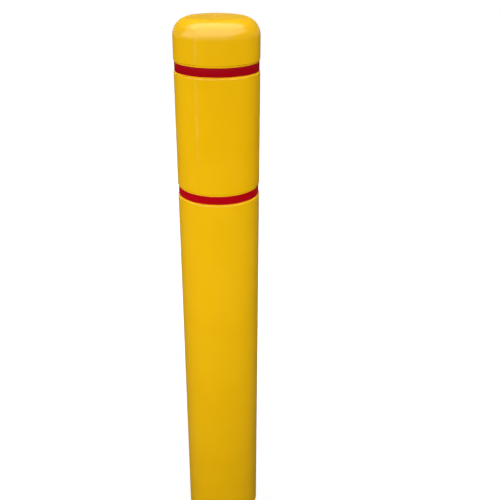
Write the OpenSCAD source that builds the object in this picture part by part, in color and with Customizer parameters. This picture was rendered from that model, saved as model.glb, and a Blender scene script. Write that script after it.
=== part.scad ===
// Bollard cover sleeve.
// A one-piece moulded tube with a closed, rounded top slips over a round steel post.
// Two shallow grooves round the tube hold reflective tape, and foam strips bonded inside grip the post.
// Millimetres, +Z up, with the origin on the tube's axis at the floor.

/* [Sleeve] */
// Overall height, from the floor to the middle of the crowned top
sleeve_h = 1320.8; // [1000:0.1:1800]
// Inside diameter of the tube
bore_d = 181; // [140:0.5:300]
// Wall thickness of the moulding
wall_t = 3.2; // [2.4:0.1:6.4]
// Radius of the rounded shoulder between the wall and the top
shoulder_r = 38; // [20:0.5:50]
// Slope of the crowned top where it meets the shoulder, in degrees
crown_angle = 3; // [1:0.5:10]
// Edge break on the bottom rim
rim_break = 0.4; // [0.2:0.1:0.8]

/* [Tape grooves] */
// Drop from the top of the sleeve to the middle of the upper groove
groove_drop = 101.6; // [80:0.1:160]
// Distance between the middles of the two grooves
groove_pitch = 279.4; // [230:0.1:420]
// Width of the flat groove floor
groove_w = 25.4; // [22:0.1:50]
// Depth of a groove below the outside of the tube
groove_depth = 2; // [1:0.1:2.4]
// Rounding of the groove's lips
lip_r = 1.8; // [0.5:0.1:2.4]

/* [Reflective tape] */
// Gap between each edge of the tape and the side of its groove
tape_side_gap = 3.2; // [0.5:0.1:6]
// Thickness of the tape's film
tape_t = 0.3; // [0.15:0.05:0.6]
// Thickness of the adhesive under the film
tape_glue_t = 0.1; // [0.05:0.05:0.3]
// Length by which the end of the tape laps over its start
tape_lap = 14; // [6:1:40]
// Direction of the lap round the axis, from +X, in degrees
lap_angle = 90; // [0:1:359]

/* [Foam strips] */
// Width of a strip round the bore
strip_w = 50.8; // [25:0.1:80]
// Length of a strip up the bore
strip_l = 152.4; // [80:0.1:180]
// Thickness of the foam
strip_t = 6.15; // [3:0.05:12]
// Thickness of the adhesive behind the foam
strip_glue_t = 0.15; // [0.05:0.05:0.4]
// Height of the lower strips above the floor
strip_base_z = 50.8; // [20:0.1:200]

/* [Hidden] */
$fn = 180;
// How far a cut runs past the surface that it opens
overrun = 1;
// Hairline on each side of an adhesive layer, so that bonded faces meet without overlapping
bond_gap = 0.01;

// Angle that an arc of a given length spans
function arc_turn(arc, radius) = arc / radius * 180 / PI;

// Radii that the pieces share
bore_r = bore_d / 2;
sleeve_r = bore_r + wall_t;
groove_floor_r = sleeve_r - groove_depth;
tape_bed_r = groove_floor_r + tape_glue_t;
tape_r = tape_bed_r + tape_t;
lap_r = tape_r + tape_t;
tape_w = groove_w - 2 * tape_side_gap;
foam_bed_r = bore_r - strip_glue_t;
grip_r = foam_bed_r - strip_t;
groove_lip_r = min(lip_r, groove_depth);

// Outline of the top: a shoulder arc that runs tangent into a wide, shallow crown arc
shoulder_x = sleeve_r - shoulder_r;
crown_x = shoulder_x + shoulder_r * sin(crown_angle);
crown_r = crown_x / sin(crown_angle);
crown_rise = crown_x * tan(crown_angle / 2);
shoulder_z = sleeve_h - crown_rise - shoulder_r * cos(crown_angle);
crown_centre_z = sleeve_h - crown_r;

// Heights of the grooves and of the ridges that they raise inside the bore
upper_groove_z = sleeve_h - groove_drop;
lower_groove_z = upper_groove_z - groove_pitch;
ridge_base_w = groove_w + 2 * wall_t;
ridge_crest_w = ridge_base_w - 2 * groove_depth;

// The upper strips sit midway between the two grooves
upper_strip_z = (upper_groove_z + lower_groove_z - strip_l) / 2;
strip_turn = arc_turn(strip_w, bore_r);

// Turn that the tape's lap takes up
lap_turn = arc_turn(tape_lap, tape_bed_r);

// Quarter points round the bore, anticlockwise from the front, which faces -Y
SIDES = ["front", "right", "back", "left"];
front_angle = -90;
side_turn = 360 / len(SIDES);

LEVELS = ["upper", "lower"];
GROOVE_Z = [upper_groove_z, lower_groove_z];
STRIP_Z = [upper_strip_z, strip_base_z];

// Half outline of the closed tube, from the axis out, with its outside moved out by grow
module tube_outline(grow) {
    crown_edge_x = (crown_r + grow) * sin(crown_angle);
    top_room = shoulder_r + grow + crown_rise;
    square([sleeve_r + grow, shoulder_z]);
    intersection() {
        translate([shoulder_x, shoulder_z]) circle(r = shoulder_r + grow);
        translate([crown_edge_x, shoulder_z]) square([shoulder_r + grow, top_room]);
    }
    intersection() {
        translate([0, crown_centre_z]) circle(r = crown_r + grow);
        translate([0, shoulder_z]) square([crown_edge_x, top_room]);
    }
}

// Half section of one groove, centred on height zero, with rounded lips
module groove_section() {
    translate([groove_floor_r, -groove_w / 2]) square([groove_depth + overrun, groove_w]);
    for (up = [0, 1]) mirror([0, up]) translate([sleeve_r - groove_lip_r, groove_w / 2]) difference() {
        square([groove_lip_r + overrun, groove_lip_r]);
        translate([0, groove_lip_r]) circle(r = groove_lip_r);
    }
}

// Half section of the ridge that a groove raises inside, so that the wall keeps its thickness
module ridge_section() {
    polygon([
        [bore_r + overrun, -ridge_base_w / 2 - overrun],
        [bore_r - groove_depth, -ridge_crest_w / 2],
        [bore_r - groove_depth, ridge_crest_w / 2],
        [bore_r + overrun, ridge_base_w / 2 + overrun]
    ]);
}

// Half section of the hollow inside the tube
module bore_section() {
    difference() {
        union() {
            tube_outline(-wall_t);
            translate([0, -overrun]) square([bore_r, 2 * overrun]);
        }
        for (z = GROOVE_Z) translate([0, z]) ridge_section();
    }
}

// Section of the edge break on the bottom rim's outer corner, moved to height and radius zero
module rim_break_section() {
    reach = rim_break + overrun;
    polygon([[-reach, -overrun], [overrun, -overrun], [overrun, reach]]);
}

// A band that runs all or part of the way round the axis, centred on a direction
module band(inner_r, thickness, height, turn = 360, direction = 0) {
    rotate([0, 0, direction - turn / 2]) rotate_extrude(angle = turn)
        translate([inner_r, 0]) square([thickness, height]);
}

// The tape seen from above: a closed ring with a second layer where its end laps over its start
module tape_plan() {
    wedge_x = lap_r + overrun;
    wedge_y = wedge_x * tan(lap_turn / 2);
    difference() {
        union() {
            circle(r = tape_r);
            intersection() {
                circle(r = lap_r);
                rotate(lap_angle) polygon([[0, 0], [wedge_x, -wedge_y], [wedge_x, wedge_y]]);
            }
        }
        circle(r = tape_bed_r);
    }
}

module sleeve_shell() color("gold") rotate_extrude() difference() {
    tube_outline(0);
    bore_section();
    translate([sleeve_r, 0]) rim_break_section();
    translate([bore_r, 0]) mirror([1, 0]) rim_break_section();
    for (z = GROOVE_Z) translate([0, z]) groove_section();
}

module reflective_tape(groove_z) color("firebrick") translate([0, 0, groove_z - tape_w / 2])
    linear_extrude(height = tape_w) tape_plan();

module tape_adhesive(groove_z) color("linen") translate([0, 0, groove_z - tape_w / 2])
    band(groove_floor_r + bond_gap, tape_glue_t - 2 * bond_gap, tape_w);

module foam_strip(base_z, direction) color("dimgray") translate([0, 0, base_z])
    band(grip_r, strip_t, strip_l, strip_turn, direction);

module strip_adhesive(base_z, direction) color("linen") translate([0, 0, base_z])
    band(foam_bed_r + bond_gap, strip_glue_t - 2 * bond_gap, strip_l, strip_turn, direction);

sleeve_shell();
for (i = [0 : len(LEVELS) - 1]) {
    reflective_tape(GROOVE_Z[i]);
    tape_adhesive(GROOVE_Z[i]);
    for (j = [0 : len(SIDES) - 1]) {
        direction = front_angle + j * side_turn;
        foam_strip(STRIP_Z[i], direction);
        strip_adhesive(STRIP_Z[i], direction);
    }
}
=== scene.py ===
"""Looks of a bollard cover sleeve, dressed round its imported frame.

Metres, +Z up. The sleeve stands on the origin and its front faces -Y.
"""

import math

import bmesh
import bpy
from mathutils import Matrix, Vector, noise


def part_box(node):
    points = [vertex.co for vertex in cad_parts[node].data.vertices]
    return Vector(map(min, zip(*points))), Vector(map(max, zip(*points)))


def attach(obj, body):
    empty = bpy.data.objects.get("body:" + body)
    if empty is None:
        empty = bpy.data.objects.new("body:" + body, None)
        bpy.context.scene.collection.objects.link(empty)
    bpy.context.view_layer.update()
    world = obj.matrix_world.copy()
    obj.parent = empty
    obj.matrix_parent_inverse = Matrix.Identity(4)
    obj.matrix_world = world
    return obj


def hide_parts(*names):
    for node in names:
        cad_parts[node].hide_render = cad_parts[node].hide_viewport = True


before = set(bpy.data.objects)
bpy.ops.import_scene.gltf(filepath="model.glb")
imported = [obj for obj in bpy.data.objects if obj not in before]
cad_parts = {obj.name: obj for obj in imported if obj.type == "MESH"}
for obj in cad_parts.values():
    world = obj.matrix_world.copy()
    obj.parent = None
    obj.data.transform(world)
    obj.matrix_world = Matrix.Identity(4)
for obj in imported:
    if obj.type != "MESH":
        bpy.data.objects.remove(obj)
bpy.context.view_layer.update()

MM = 0.001
LEVELS = ("upper", "lower")
SIDES = ("front", "right", "back", "left")
FRONT_ANGLE = -90.0

# Sizes of the moulding: the overall ones come from the frame
SLEEVE_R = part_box("sleeve_shell")[1].x
SLEEVE_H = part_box("sleeve_shell")[1].z
WALL_T = 3.2 * MM
SHOULDER_R = 38.0 * MM
CROWN_ANGLE = 3.0
RIM_ROUND = 0.5 * MM
BORE_R = SLEEVE_R - WALL_T

# Tape grooves, and the ridges that they raise inside
GROOVE_W = 25.4 * MM
GROOVE_DEPTH = 2.0 * MM
LIP_R = 1.8 * MM
HOLD = 0.5 * MM
# How fast the painted shade under an upper lip rises to full as the wall turns in under the lip
SHADE_RISE = 4.0
GROOVE_FLOOR_R = SLEEVE_R - GROOVE_DEPTH
RIDGE_BASE_W = GROOVE_W + 2 * WALL_T
RIDGE_CREST_W = RIDGE_BASE_W - 2 * GROOVE_DEPTH

# Reflective tape
TAPE_T = 0.3 * MM
TAPE_GLUE_T = 0.1 * MM
TAPE_LAP = 14.0 * MM
TAPE_RAMP = 5.0 * MM
TAPE_EDGE_R = 0.09 * MM
TAPE_AIR = 0.008 * MM
LAP_ANGLE = 90.0

# Foam strips
STRIP_W = 50.8 * MM
STRIP_T = 6.15 * MM
STRIP_GLUE_T = 0.15 * MM
STRIP_ROUND = 1.4 * MM
STRIP_CROWN = 0.35 * MM
STRIP_PULL_IN = 0.5 * MM
STRIP_PULL_RUN = 4 * STRIP_ROUND
STRIP_GRAIN = 0.06 * MM
STRIP_GRAIN_PER_M = 90
FOAM_BED_R = BORE_R - STRIP_GLUE_T

# Parting line that the two halves of the mould leave on the outside
PARTING_ANGLE = 64.0
PARTING_W = 6.5 * MM
PARTING_H = 0.05 * MM
PARTING_SINK = 0.4 * MM
PARTING_FADE = 3.0 * MM
PARTING_DIP = (PARTING_W / 2) ** 2 / (2 * SLEEVE_R) + 0.01 * MM
PARTING_FOOT = 0.6
PARTING_SHARES = (-1, -0.97, -0.6, -0.25, 0.25, 0.6, 0.97, 1)

# Mesh fineness
ROUND_STEPS = 256
CROWN_STEPS = 12
SHOULDER_STEPS = 32
LIP_STEPS = 8
CORNER_STEPS = 3
SLOPE_STEPS = 8
RIM_STEPS = 4
LAP_STEPS = 6
STRIP_EDGE_STEPS = 5
STRIP_ACROSS_STEPS = 12
STRIP_ALONG_STEPS = 32
WELD = 1e-7


def srgb(red, green, blue):
    """Linear colour from a screen colour of 0 to 255 a channel."""
    def linear(value):
        share = value / 255
        return share / 12.92 if share <= 0.04045 else ((share + 0.055) / 1.055) ** 2.4
    return (linear(red), linear(green), linear(blue), 1.0)


# Half sections of the moulding, as points of (radius, height)

def arc(centre_r, centre_z, radius, start, end, steps):
    """Points along an arc between two angles in degrees."""
    angles = [math.radians(start + (end - start) * i / steps) for i in range(steps + 1)]
    return [(centre_r + radius * math.cos(a), centre_z + radius * math.sin(a)) for a in angles]


def top_points(inset):
    """The top from the axis out to the wall: a shallow crown that runs tangent into the shoulder."""
    slope = math.radians(CROWN_ANGLE)
    shoulder_x = SLEEVE_R - SHOULDER_R
    crown_x = shoulder_x + SHOULDER_R * math.sin(slope)
    crown_r = crown_x / math.sin(slope)
    shoulder_z = SLEEVE_H - crown_x * math.tan(slope / 2) - SHOULDER_R * math.cos(slope)
    edge = 90 - CROWN_ANGLE
    crown = arc(0, SLEEVE_H - crown_r, crown_r - inset, 90, edge, CROWN_STEPS)
    shoulder = arc(shoulder_x, shoulder_z, SHOULDER_R - inset, edge, 0, SHOULDER_STEPS)
    below = (SLEEVE_R - inset, shoulder_z - HOLD)
    return crown + shoulder[1:] + [below]


def groove_points(middle):
    """The outside of one groove, from above its upper lip to below its lower lip."""
    corner_r = GROOVE_DEPTH - LIP_R
    lip_z = GROOVE_W / 2 + LIP_R
    upper = [(SLEEVE_R, lip_z + HOLD)]
    upper += arc(SLEEVE_R - LIP_R, lip_z, LIP_R, 0, -90, LIP_STEPS)
    upper += arc(GROOVE_FLOOR_R + corner_r, GROOVE_W / 2 - corner_r, corner_r, 90, 180, CORNER_STEPS)[1:]
    upper += [(GROOVE_FLOOR_R, GROOVE_W / 2 - corner_r - HOLD)]
    lower = [(r, -z) for r, z in reversed(upper)]
    return [(r, middle + z) for r, z in upper + lower]


def ridge_points(middle):
    """The inside of one groove's ridge, from below it to above it."""
    run = (RIDGE_BASE_W - RIDGE_CREST_W) / 2
    lower = [(BORE_R, -RIDGE_BASE_W / 2 - HOLD)]
    for i in range(SLOPE_STEPS + 1):
        share = i / SLOPE_STEPS
        rise = GROOVE_DEPTH * (1 - math.cos(math.pi * share)) / 2
        lower.append((BORE_R - rise, -RIDGE_BASE_W / 2 + run * share))
    lower += [(BORE_R - GROOVE_DEPTH, -RIDGE_CREST_W / 2 + HOLD)]
    upper = [(r, -z) for r, z in reversed(lower)]
    return [(r, middle + z) for r, z in lower + upper]


def groove_middles():
    """Heights of the grooves' middles, the upper one first."""
    boxes = [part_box(f"{level}_reflective_tape") for level in LEVELS]
    return [(low.z + high.z) / 2 for low, high in boxes]


def outside_points():
    """The outside from the top of the crown down to the rim."""
    points = top_points(0)
    for middle in groove_middles():
        points += groove_points(middle)
    points += [(SLEEVE_R, RIM_ROUND + HOLD)]
    return points + arc(SLEEVE_R - RIM_ROUND, RIM_ROUND, RIM_ROUND, 0, -90, RIM_STEPS)


def inside_points():
    """The inside from the rim up to the middle of the crown."""
    points = arc(BORE_R + RIM_ROUND, RIM_ROUND, RIM_ROUND, -90, -180, RIM_STEPS)
    points += [(BORE_R, RIM_ROUND + HOLD)]
    for middle in reversed(groove_middles()):
        points += ridge_points(middle)
    return points + list(reversed(top_points(WALL_T)))


def rim_wear_and_lip_highlight(point):
    """How far a ring of the outside is marked: rubbed wear full on the rim, and a painted highlight on the
    lips that face up.
    """
    radius, height = point
    if height < RIM_ROUND + HOLD / 2:
        return 1.0
    drop = SLEEVE_R - radius
    on_lip = any(0 < middle - height < GROOVE_W / 2 + LIP_R for middle in groove_middles())
    return max(0.0, 1 - drop / LIP_R) if on_lip else 0.0


def lip_painted_shade(point):
    """How much painted shade a ring of the outside takes: full under the upper lips of the grooves, where
    shade falls.
    """
    radius, height = point
    inner = GROOVE_W / 2 - (GROOVE_DEPTH - LIP_R)
    under = any(inner <= height - middle < GROOVE_W / 2 + LIP_R for middle in groove_middles())
    return min(1.0, SHADE_RISE * (SLEEVE_R - radius) / LIP_R) if under else 0.0


# Mesh building

def turned(radius, height, degrees):
    """A point of the half section turned round the axis."""
    angle = math.radians(degrees)
    return Vector((radius * math.cos(angle), radius * math.sin(angle), height))


def loft(name, runs, materials, closed_ends=True, marks=None, row_slot=None):
    """One mesh piece of closed skins: each run is a list of rows, and each row is a closed loop of points.

    marks holds a number for each row of a run under an attribute's name, and row_slot(row) gives the
    material slot of the faces that follow a row.
    """
    mesh_data = bmesh.new()
    layers = {key: mesh_data.verts.layers.float.new(key) for key in marks or {}}
    for rows in runs:
        rings = []
        for index, row in enumerate(rows):
            ring = [mesh_data.verts.new(point) for point in row]
            for key, layer in layers.items():
                for vertex in ring:
                    vertex[layer] = marks[key][index]
            rings.append(ring)
        for index, (ring, after) in enumerate(zip(rings, rings[1:])):
            for j in range(len(ring)):
                k = (j + 1) % len(ring)
                face = mesh_data.faces.new((ring[j], ring[k], after[k], after[j]))
                face.material_index = row_slot(index) if row_slot else 0
        if closed_ends:
            mesh_data.faces.new(rings[0])
            mesh_data.faces.new(rings[-1])
    bmesh.ops.remove_doubles(mesh_data, verts=mesh_data.verts, dist=WELD)
    bmesh.ops.recalc_face_normals(mesh_data, faces=mesh_data.faces)
    for face in mesh_data.faces:
        face.smooth = len(face.verts) <= 4
    mesh = bpy.data.meshes.new(name)
    mesh_data.to_mesh(mesh)
    mesh_data.free()
    for made in materials:
        mesh.materials.append(made)
    piece = bpy.data.objects.new(name, mesh)
    bpy.context.scene.collection.objects.link(piece)
    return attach(piece, "root")


def moulded_shell(outer, inner):
    """The moulding as one closed skin, turned from its half section."""
    outside = outside_points()
    points = outside + inside_points()
    step = 360 / ROUND_STEPS
    rows = [[turned(r, z, i * step) for i in range(ROUND_STEPS)] for r, z in points]
    clean = [0.0] * (len(points) - len(outside))
    marks = {
        # Rubbed wear on the rim and a painted highlight on the lips that face up
        "rim_wear_and_lip_highlight": [rim_wear_and_lip_highlight(p) for p in outside] + clean,
        # Painted shade under the upper lips of the grooves
        "lip_painted_shade": [lip_painted_shade(p) for p in outside] + clean,
    }
    shell = loft(
        "moulded_shell", [rows], [outer, inner], closed_ends=False, marks=marks,
        row_slot=lambda row: 0 if row < len(outside) else 1,
    )
    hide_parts("sleeve_shell")
    return shell


def parting_paths():
    """Stretches of the parting line, each a path of (distance along the mould's plane, height).

    One arches over the top, and the others run down both sides between the grooves, where they fade.
    """
    reach = GROOVE_W / 2 + LIP_R
    upper, lower = groove_middles()
    arch = top_points(0) + [(SLEEVE_R, upper + reach + PARTING_FADE), (SLEEVE_R, upper + reach)]
    paths = [[(-r, z) for r, z in reversed(arch)] + arch[1:]]
    high, low = upper - reach, lower + reach
    wall = [(SLEEVE_R, z) for z in (high, high - PARTING_FADE, low + PARTING_FADE, low)]
    return paths + [wall, [(-r, z) for r, z in reversed(wall)]]


def parting_row(path, index):
    """One cross-section of the parting line: a low bead whose edges, foot and ends sink into the wall."""
    last = len(path) - 1
    along = Vector(path[min(index + 1, last)]) - Vector(path[max(index - 1, 0)])
    along.normalize()
    across = turned(1, 0, PARTING_ANGLE + 90)
    outward = turned(-along.y, along.x, PARTING_ANGLE)
    centre = turned(*path[index], PARTING_ANGLE)
    lift = -PARTING_SINK / 2 if index in (0, last) else 0.0
    bead = [(share, PARTING_H - (PARTING_H + PARTING_DIP) * share * share) for share in PARTING_SHARES]
    loop = bead + [(PARTING_FOOT, -PARTING_SINK), (-PARTING_FOOT, -PARTING_SINK)]
    half = PARTING_W / 2
    return [centre + across * (half * share) + outward * (rise + lift) for share, rise in loop]


def parting_line(finish):
    """The fine line that the mould's two halves leave over the top and down two opposite sides."""
    runs = [[parting_row(path, i) for i in range(len(path))] for path in parting_paths()]
    line = loft("parting_line", runs, [finish])
    return line


def smooth_share(value, low, high):
    """0 below low, 1 above high, and a smooth rise between."""
    share = min(1.0, max(0.0, (value - low) / (high - low)))
    return share * share * (3 - 2 * share)


def edge_stations(half, rounding, edge_steps, middle_steps):
    """Places across a strip from one edge to the other, close together where the edges are rounded."""
    edge = [rounding * (1 - math.cos(math.pi / 2 * i / edge_steps)) for i in range(edge_steps + 1)]
    left = [-half + e for e in edge]
    right = [half - e for e in reversed(edge)]
    room = 2 * (half - rounding)
    middle = [-half + rounding + room * i / middle_steps for i in range(1, middle_steps)]
    return left + middle + right


def rounded_drop(inset):
    """How far a rounded edge falls away from the face at a distance in from the edge."""
    if inset >= STRIP_ROUND:
        return 0.0
    return STRIP_ROUND - math.sqrt(max(0.0, STRIP_ROUND**2 - (STRIP_ROUND - inset) ** 2))


def foam_row(height, ends, columns, angle):
    """One loop across a foam strip: its crowned face, its sides and the back that is bonded to the bore."""
    low, high = ends
    half_l = (high - low) / 2
    from_end = half_l - abs(height - (low + high) / 2)
    face = []
    for across in columns:
        from_side = STRIP_W / 2 - abs(across)
        swell = STRIP_CROWN * ((2 * across / STRIP_W) ** 2 + (1 - from_end / half_l) ** 2) / 2
        place = turned(FOAM_BED_R, height, angle + math.degrees(across / BORE_R))
        grain = STRIP_GRAIN * (1 + noise.noise(place * STRIP_GRAIN_PER_M)) / 2
        radius = FOAM_BED_R - STRIP_T + rounded_drop(min(from_side, from_end)) + swell + grain
        face.append((across, min(radius, FOAM_BED_R - STRIP_ROUND)))
    back = [(across, FOAM_BED_R) for across in reversed(columns)]
    pulled = STRIP_W / 2 - STRIP_PULL_IN * smooth_share(from_end, 0, STRIP_PULL_RUN)
    side_r = FOAM_BED_R - STRIP_T / 2
    loop = face + [(pulled, side_r)] + back + [(-pulled, side_r)]
    return [turned(radius, height, angle + math.degrees(across / BORE_R)) for across, radius in loop]


def foam_strip(level, side, finish):
    """A foam strip, crowned on the side that grips the post and drawn in a little at its sides."""
    node = f"{level}_foam_strip_{side}"
    low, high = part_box(node)
    angle = FRONT_ANGLE + 360 / len(SIDES) * SIDES.index(side)
    columns = edge_stations(STRIP_W / 2, STRIP_ROUND, STRIP_EDGE_STEPS, STRIP_ACROSS_STEPS)
    half_l = (high.z - low.z) / 2
    middle = (low.z + high.z) / 2
    stations = edge_stations(half_l, STRIP_ROUND, STRIP_EDGE_STEPS, STRIP_ALONG_STEPS)
    heights = [middle + h for h in stations]
    rows = [foam_row(h, (low.z, high.z), columns, angle) for h in heights]
    strip = loft(f"{level}_foam_pad_{side}", [rows], [finish])
    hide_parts(node)
    return strip


def tape_film(level, finish):
    """A reflective tape wound once round its groove, with its end lapped over its start at the back."""
    node = f"{level}_reflective_tape"
    low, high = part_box(node)
    middle = (low.z + high.z) / 2
    half_w = (high.z - low.z) / 2
    bed_r = GROOVE_FLOOR_R + TAPE_GLUE_T
    lap = math.degrees(TAPE_LAP / bed_r)
    ramp = math.degrees(TAPE_RAMP / bed_r)
    start = LAP_ANGLE - lap / 2
    turns = [360 * i / ROUND_STEPS for i in range(ROUND_STEPS)]
    turns = [t for t in turns if t < 360 - ramp]
    turns += [360 - ramp + ramp * i / LAP_STEPS for i in range(LAP_STEPS)]
    turns += [360 + lap * i / LAP_STEPS for i in range(LAP_STEPS + 1)]
    section = tape_section(half_w)
    rows = []
    along = []
    for turn in turns:
        lift = (TAPE_T + TAPE_AIR) * smooth_share(turn, 360 - ramp, 360)
        rows.append([turned(bed_r + lift + out, middle + up, start + turn) for out, up in section])
        along.append(math.radians(turn) * bed_r)
    film = loft(f"{level}_tape_film", [rows], [finish], marks={"along": along})
    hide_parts(node)
    return film


def tape_section(half_w):
    """The film's thin cross-section with its outer edges rounded, as (out from the bed, up)."""
    top = half_w - TAPE_EDGE_R
    face = TAPE_T - TAPE_EDGE_R
    upper = arc(face, top, TAPE_EDGE_R, 0, 90, CORNER_STEPS)
    lower = [(out, -up) for out, up in reversed(upper)]
    return [(0, -half_w)] + lower + upper + [(0, half_w)]


# Material building

# Places of a mix node's two colours among its inputs
MIX_FIRST, MIX_SECOND = 6, 7

class Shader:
    """A new material's node tree, with short ways to add the nodes that the finishes share."""

    def __init__(self, name, **sockets):
        self.material = bpy.data.materials.new(name)
        self.material.use_nodes = True
        self.tree = self.material.node_tree
        self.surface = self.tree.nodes["Principled BSDF"]
        self.place = self.tree.nodes.new("ShaderNodeTexCoord").outputs["Object"]
        for socket, value in sockets.items():
            self.surface.inputs[socket.replace("_", " ")].default_value = value

    def add(self, kind, inputs=None, **settings):
        """A node with its settings, whose inputs are numbers, colours or other nodes' outputs."""
        made = self.tree.nodes.new(kind)
        for key, value in settings.items():
            setattr(made, key, value)
        for key, value in (inputs or {}).items():
            self.feed(made.inputs[key], value)
        return made

    def feed(self, socket, value):
        """Sets a socket to a constant, or links it to an output."""
        if isinstance(value, bpy.types.NodeSocket):
            self.tree.links.new(value, socket)
        else:
            socket.default_value = value

    def stretched(self, scale):
        """Object coordinates scaled by a different factor along each axis."""
        return self.add("ShaderNodeMapping", {"Vector": self.place, "Scale": scale}).outputs["Vector"]

    def noise(self, scale, detail=2.0, vector=None):
        """Soft noise from 0 to 1, at a number of features to the metre."""
        inputs = {"Vector": vector or self.place, "Scale": scale, "Detail": detail}
        return self.add("ShaderNodeTexNoise", inputs).outputs["Fac"]

    def cells(self, scale, vector=None, feature="F1"):
        """Distance from the middle, or to the edge, of the nearest of many round cells."""
        inputs = {"Vector": vector or self.place, "Scale": scale}
        return self.add("ShaderNodeTexVoronoi", inputs, feature=feature).outputs["Distance"]

    def remap(self, value, low, high, start=0.0, end=1.0):
        """A value taken from between low and high to between start and end."""
        inputs = {"Value": value, "From Min": low, "From Max": high, "To Min": start, "To Max": end}
        return self.add("ShaderNodeMapRange", inputs).outputs["Result"]

    def math(self, operation, *values):
        """The result of a sum on one or two values."""
        return self.add("ShaderNodeMath", dict(enumerate(values)), operation=operation).outputs[0]

    def times(self, first, second):
        """The product of two values."""
        return self.math("MULTIPLY", first, second)

    def mixed(self, share, first, second):
        """A colour between two others."""
        made = self.add("ShaderNodeMix", {"Factor": share}, data_type="RGBA")
        self.feed(made.inputs[MIX_FIRST], first)
        self.feed(made.inputs[MIX_SECOND], second)
        return made.outputs[2]

    def bump(self, height, strength, distance, below=None):
        """A normal that follows a height, laid over another bump."""
        inputs = {"Height": height, "Strength": strength, "Distance": distance}
        if below:
            inputs["Normal"] = below
        return self.add("ShaderNodeBump", inputs).outputs["Normal"]

    def finish(self, **sockets):
        """Feeds the surface's sockets and gives the material."""
        for socket, value in sockets.items():
            self.feed(self.surface.inputs[socket.replace("_", " ")], value)
        return self.material


YELLOW = srgb(243, 186, 3)
YELLOW_PALE = srgb(246, 190, 10)
# A darker yellow painted as shade under the upper lips of the grooves
YELLOW_PAINTED_SHADE = srgb(176, 122, 6)
# A pale yellow for rubbed wear on the rim and a painted highlight on the lips that face up
YELLOW_WEAR_AND_HIGHLIGHT = srgb(247, 208, 92)
YELLOW_SCRAPED = srgb(242, 189, 42)
SCRAPED_FROM = (0.98, 1.08)
INSIDE_YELLOWS = (srgb(216, 164, 14), srgb(232, 181, 34))
# Reds of each tape's film: the lower tape's are painted brighter, as painted light that the film throws
# back
FILM_REDS_WITH_PAINTED_LIGHT = {"upper": (153, 169, 183), "lower": (171, 188, 203)}
FILM_GREEN = 2
FILM_BLUE = 18
FOAM_CELL = srgb(28, 28, 30)
FOAM_GREYS = (srgb(44, 44, 46), srgb(62, 62, 63))
TAPE_GLUE_TONES = (srgb(226, 214, 176), srgb(205, 190, 148))
STRIP_GLUE_TONES = (srgb(232, 228, 214), srgb(208, 202, 186))


def yellow_plastic():
    """Satin polyethylene: yellow with faint flow marks, a fine peel and a rubbed rim, with a painted
    highlight on the lips that face up and painted shade under the upper lips.
    """
    shader = Shader("satin_yellow", IOR=1.5, Specular_IOR_Level=0.5)
    drift = shader.noise(7, 2)
    flow = shader.noise(1, 3, shader.stretched((55, 55, 3)))
    tone = shader.mixed(shader.remap(drift, 0.35, 0.65), YELLOW, YELLOW_PALE)
    streaked = shader.mixed(shader.remap(flow, 0.5, 0.8, 0, 0.25), tone, YELLOW_PALE)
    # Rubbed wear on the rim, and a painted highlight on the lips that face up
    wear_and_highlight_mark = shader.add("ShaderNodeAttribute", attribute_name="rim_wear_and_lip_highlight").outputs["Fac"]
    wear_and_highlight = shader.times(wear_and_highlight_mark, shader.remap(shader.noise(140, 4), 0.5, 0.75, 0, 0.6))
    # Painted shade: a darker yellow under the upper lips of the grooves
    lip_shade = shader.add("ShaderNodeAttribute", attribute_name="lip_painted_shade").outputs["Fac"]
    shaded = shader.times(lip_shade, shader.remap(shader.noise(60, 3), 0.3, 0.7, 0.5, 0.9))
    colour = shader.mixed(shaded, shader.mixed(wear_and_highlight, streaked, YELLOW_WEAR_AND_HIGHLIGHT), YELLOW_PAINTED_SHADE)
    peel = shader.bump(shader.noise(420, 1), 0.05, 0.2 * MM)
    waves = shader.bump(shader.noise(22, 1), 0.04, 2 * MM, peel)
    roughness = shader.remap(shader.noise(60, 4), 0.3, 0.7, 0.18, 0.23)
    return shader.finish(Base_Color=colour, Roughness=roughness, Normal=waves)


def moulded_inside():
    """The same plastic inside the bore, duller and rougher where no mould face polished it."""
    shader = Shader("dull_yellow", IOR=1.5, Specular_IOR_Level=0.2)
    blotch = shader.noise(28, 4)
    colour = shader.mixed(shader.remap(blotch, 0.35, 0.7), *INSIDE_YELLOWS)
    pits = shader.bump(shader.noise(260, 4), 0.35, 0.5 * MM)
    roughness = shader.remap(shader.noise(90, 3), 0.3, 0.7, 0.5, 0.68)
    return shader.finish(Base_Color=colour, Roughness=roughness, Normal=pits)


def trimmed_bead():
    """The parting bead: the same yellow, scraped pale in patches where the flash was trimmed."""
    shader = Shader("scraped_yellow", IOR=1.5, Specular_IOR_Level=0.5)
    height = shader.add("ShaderNodeSeparateXYZ", {"Vector": shader.place}).outputs["Z"]
    patches = shader.remap(shader.noise(1, 3, shader.stretched((40, 40, 18))), 0.35, 0.65, 0.75, 1)
    scraped = shader.times(patches, shader.remap(height, *SCRAPED_FROM))
    colour = shader.mixed(scraped, YELLOW, YELLOW_SCRAPED)
    scores = shader.bump(shader.noise(900, 2), 0.1, 0.2 * MM)
    roughness = shader.remap(scraped, 0, 1, 0.2, 0.28)
    return shader.finish(Base_Color=colour, Roughness=roughness, Normal=scores)


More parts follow.
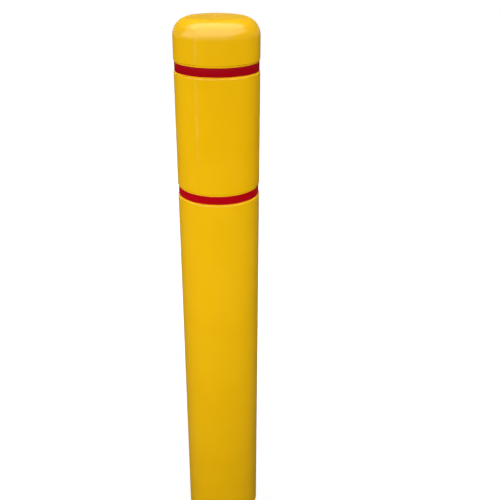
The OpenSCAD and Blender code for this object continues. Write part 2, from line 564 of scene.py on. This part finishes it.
def red_film(level):
    """Reflective sheeting: a deep red film over small sealed cells, under a clear glossy face; the lower
    tape's copy is painted brighter, as painted light.
    """
    shader = Shader(
        f"beaded_red_{level}", IOR=1.5, Specular_IOR_Level=0.12, Coat_Weight=0.06, Coat_Roughness=0.12,
    )
    # The level's reds: the lower tape's copy is painted brighter, as painted light
    seam_red, deep_red, light_red = [srgb(red, FILM_GREEN, FILM_BLUE) for red in FILM_REDS_WITH_PAINTED_LIGHT[level]]
    along = shader.add("ShaderNodeAttribute", attribute_name="along").outputs["Fac"]
    height = shader.add("ShaderNodeSeparateXYZ", {"Vector": shader.place}).outputs["Z"]
    flat = shader.add("ShaderNodeCombineXYZ", {"X": along, "Y": height}).outputs["Vector"]
    seams = shader.remap(shader.cells(420, flat, "DISTANCE_TO_EDGE"), 0.02, 0.09)
    cloud = shader.remap(shader.noise(35, 3, flat), 0.35, 0.65)
    red = shader.mixed(cloud, deep_red, light_red)
    beads = shader.remap(shader.noise(2600, 2, flat), 0.35, 0.7)
    beaded = shader.mixed(shader.times(beads, seams), seam_red, red)
    emboss = shader.bump(seams, 0.10, 0.1 * MM)
    grain = shader.bump(beads, 0.06, 0.05 * MM, emboss)
    roughness = shader.remap(beads, 0, 1, 0.26, 0.36)
    return shader.finish(Base_Color=beaded, Roughness=roughness, Normal=grain)


def charcoal_foam():
    """Closed-cell foam: dark grey with a fine open cell at its cut faces."""
    shader = Shader("charcoal_cells", Specular_IOR_Level=0.2)
    cell = shader.cells(900)
    mottle = shader.noise(55, 4)
    dark = shader.mixed(shader.remap(mottle, 0.3, 0.7), *FOAM_GREYS)
    colour = shader.mixed(shader.remap(cell, 0.1, 0.6), FOAM_CELL, dark)
    cells = shader.bump(cell, 0.6, 0.4 * MM)
    soft = shader.bump(shader.noise(160, 3), 0.25, 0.4 * MM, cells)
    roughness = shader.remap(mottle, 0.3, 0.7, 0.82, 0.95)
    return shader.finish(Base_Color=colour, Roughness=roughness, Normal=soft)


def clear_adhesive(name, pale, dark):
    """A thin pressure-sensitive adhesive: milky, a little uneven and tacky."""
    shader = Shader(name, IOR=1.47, Specular_IOR_Level=0.4)
    smear = shader.noise(120, 4)
    colour = shader.mixed(shader.remap(smear, 0.35, 0.65), pale, dark)
    uneven = shader.bump(shader.noise(320, 3), 0.3, 0.1 * MM)
    roughness = shader.remap(smear, 0.3, 0.7, 0.28, 0.5)
    return shader.finish(Base_Color=colour, Roughness=roughness, Normal=uneven)


# Stage

HORIZON = (0.5, 0.5, 0.5, 1.0)
ZENITH = (0.08, 0.08, 0.08, 1.0)
HORIZON_RISE = 0.1
BACKDROP = (1.0, 1.0, 1.0, 1.0)
FLOOR_SIZE = 60.0
FLOOR_SEEN = srgb(124, 124, 124)
FLOOR_DIM = srgb(40, 40, 40)
FOOT_SHADE = 0.8
FOOT_REACH = (0.15, 1.0)
MIRRORED_SHARE = 0.02


def studio_world():
    """A plain grey room that pales towards the horizon, and white where the camera looks past the floor."""
    world = bpy.data.worlds.new("studio")
    world.use_nodes = True
    bpy.context.scene.world = world
    tree = world.node_tree
    background = tree.nodes["Background"]
    direction = tree.nodes.new("ShaderNodeTexCoord")
    parts = tree.nodes.new("ShaderNodeSeparateXYZ")
    rise = tree.nodes.new("ShaderNodeMapRange")
    rays = tree.nodes.new("ShaderNodeLightPath")
    blend = tree.nodes.new("ShaderNodeMix")
    shown = tree.nodes.new("ShaderNodeMix")
    blend.data_type = shown.data_type = "RGBA"
    rise.inputs["From Max"].default_value = HORIZON_RISE
    blend.inputs[MIX_FIRST].default_value = HORIZON
    blend.inputs[MIX_SECOND].default_value = ZENITH
    shown.inputs[MIX_SECOND].default_value = BACKDROP
    tree.links.new(direction.outputs["Generated"], parts.inputs["Vector"])
    tree.links.new(parts.outputs["Z"], rise.inputs["Value"])
    tree.links.new(rise.outputs["Result"], blend.inputs["Factor"])
    tree.links.new(rays.outputs["Is Camera Ray"], shown.inputs["Factor"])
    tree.links.new(blend.outputs[2], shown.inputs[MIX_FIRST])
    tree.links.new(shown.outputs[2], background.inputs["Color"])


def floor_glow(shader):
    """White, a little dimmer round the foot so that the sleeve's shadow shows there."""
    away = shader.add("ShaderNodeVectorMath", {0: shader.place}, operation="LENGTH").outputs["Value"]
    return shader.remap(away, *FOOT_REACH, FOOT_SHADE, 1)


def floor_finish():
    """A white floor to the camera, faint in reflections, that throws little light back."""
    shader = Shader("studio_floor")
    tree = shader.tree
    tree.nodes.remove(shader.surface)
    white = shader.add("ShaderNodeBsdfDiffuse", {"Color": FLOOR_SEEN}).outputs[0]
    light = shader.add("ShaderNodeEmission", {"Strength": floor_glow(shader)}).outputs[0]
    seen = shader.add("ShaderNodeAddShader", {0: white, 1: light}).outputs[0]
    dim = shader.add("ShaderNodeBsdfDiffuse", {"Color": FLOOR_DIM}).outputs[0]
    rays = tree.nodes.new("ShaderNodeLightPath").outputs
    straight = shader.math("MAXIMUM", rays["Is Camera Ray"], rays["Is Transmission Ray"])
    shown = shader.math("MAXIMUM", straight, shader.times(rays["Is Glossy Ray"], MIRRORED_SHARE))
    both = shader.add("ShaderNodeMixShader", {0: shown, 1: dim, 2: seen}).outputs[0]
    tree.links.new(both, tree.nodes["Material Output"].inputs["Surface"])
    return shader.material


def studio_floor():
    """A wide flat floor at the height that the sleeve stands on."""
    half = FLOOR_SIZE / 2
    corners = [(-half, -half, 0), (half, -half, 0), (half, half, 0), (-half, half, 0)]
    mesh = bpy.data.meshes.new("studio_floor")
    mesh.from_pydata(corners, [], [(0, 1, 2, 3)])
    mesh.materials.append(floor_finish())
    floor = bpy.data.objects.new("studio_floor", mesh)
    bpy.context.scene.collection.objects.link(floor)


def panel(name, place, target, size, power):
    """A soft rectangular lamp that faces a point."""
    light = bpy.data.lights.new(name, "AREA")
    light.shape = "RECTANGLE"
    light.size, light.size_y = size
    light.energy = power
    lamp = bpy.data.objects.new(name, light)
    lamp.location = place
    lamp.rotation_euler = (Vector(target) - Vector(place)).to_track_quat("-Z", "Y").to_euler()
    bpy.context.scene.collection.objects.link(lamp)
    return lamp


def studio_lamps():
    """Soft panels that light the sleeve, and broad cards that show only in its gloss."""
    panels = [
        panel("top_panel", (-0.5, 1.6, 4.2), (-0.2, 0.4, 0), (5.0, 1.2), 97),
        panel("right_top_panel", (1.4, 0.3, 4.2), (0, 0, 1.25), (1.6, 1.6), 73),
        panel("left_top_panel", (-2.4, 0.9, 3.6), (0, 0, 1.25), (1.6, 1.6), 53),
        panel("front_panel", (0, -1.75, 0.88), (0, 0, 0.88), (1.4, 0.5), 18),
        panel("left_panel", (-3.0, -0.6, 0.8), (0, 0, 0.7), (2.0, 1.4), 43),
        panel("right_front_panel", (1.9, -2.6, 1.05), (0, 0, 0.85), (1.5, 1.2), 29),
    ]
    for lamp in panels:
        lamp.visible_glossy = False
        lamp.data.cycles.use_multiple_importance_sampling = False
    cards = [
        panel("top_card", (-0.2, -0.1, 4.2), (-0.2, -0.1, 0), (6.2, 3.0), 180),
        panel("high_card", (-0.2, -2.68, 3.53), (-0.2, -1.28, 1.23), (6.2, 2.55), 154),
        panel("left_card", (-3.2, -1.4, 2.6), (0, -1.4, 2.6), (3.6, 2.0), 50),
        panel("front_card", (-0.4, -3.4, 2.13), (-0.4, 0, 2.13), (5.6, 1.14), 21),
        panel("right_card", (3.0, -1.4, 3.4), (0, -1.4, 3.4), (3.6, 1.2), 31),
    ]
    for lamp in cards:
        lamp.visible_diffuse = False


# Camera, as fitted to the photograph in its 500 by 500 pixel frame
IMAGE_PX = 500
FOCAL_PX = 714.4
SENSOR = 36.0
CAMERA_AT = (0.0611, -1.5661, 1.5124)
CAMERA_YAW = -0.446
CAMERA_PITCH = 25.144
CAMERA_ROLL = 0.28


def photo_camera():
    """A camera at the photograph's viewing angle."""
    data = bpy.data.cameras.new("camera")
    data.sensor_width = SENSOR
    data.lens = SENSOR * FOCAL_PX / IMAGE_PX
    camera = bpy.data.objects.new("camera", data)
    turns = ((CAMERA_YAW, "Z"), (90 - CAMERA_PITCH, "X"), (CAMERA_ROLL, "Z"))
    camera.matrix_world = Matrix.Translation(CAMERA_AT)
    for degrees, axis in turns:
        camera.matrix_world @= Matrix.Rotation(math.radians(degrees), 4, axis)
    bpy.context.scene.collection.objects.link(camera)
    bpy.context.scene.camera = camera


def dress_nodes():
    """Gives the adhesive layers, whose solids show as they are, their finishes."""
    tape_glue = clear_adhesive("tape_glue", *TAPE_GLUE_TONES)
    strip_glue = clear_adhesive("strip_glue", *STRIP_GLUE_TONES)
    for name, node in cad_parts.items():
        if "_adhesive" in name:
            node.data.materials.clear()
            node.data.materials.append(tape_glue if "tape" in name else strip_glue)


def sleeve_pieces():
    """Every piece of the sleeve that the scene models."""
    moulded_shell(yellow_plastic(), moulded_inside())
    parting_line(trimmed_bead())
    foam = charcoal_foam()
    for level in LEVELS:
        tape_film(level, red_film(level))
        for side in SIDES:
            foam_strip(level, side, foam)


photo_camera()
bpy.context.scene.view_settings.view_transform = "Standard"
sleeve_pieces()
dress_nodes()
studio_world()
studio_floor()
studio_lamps()
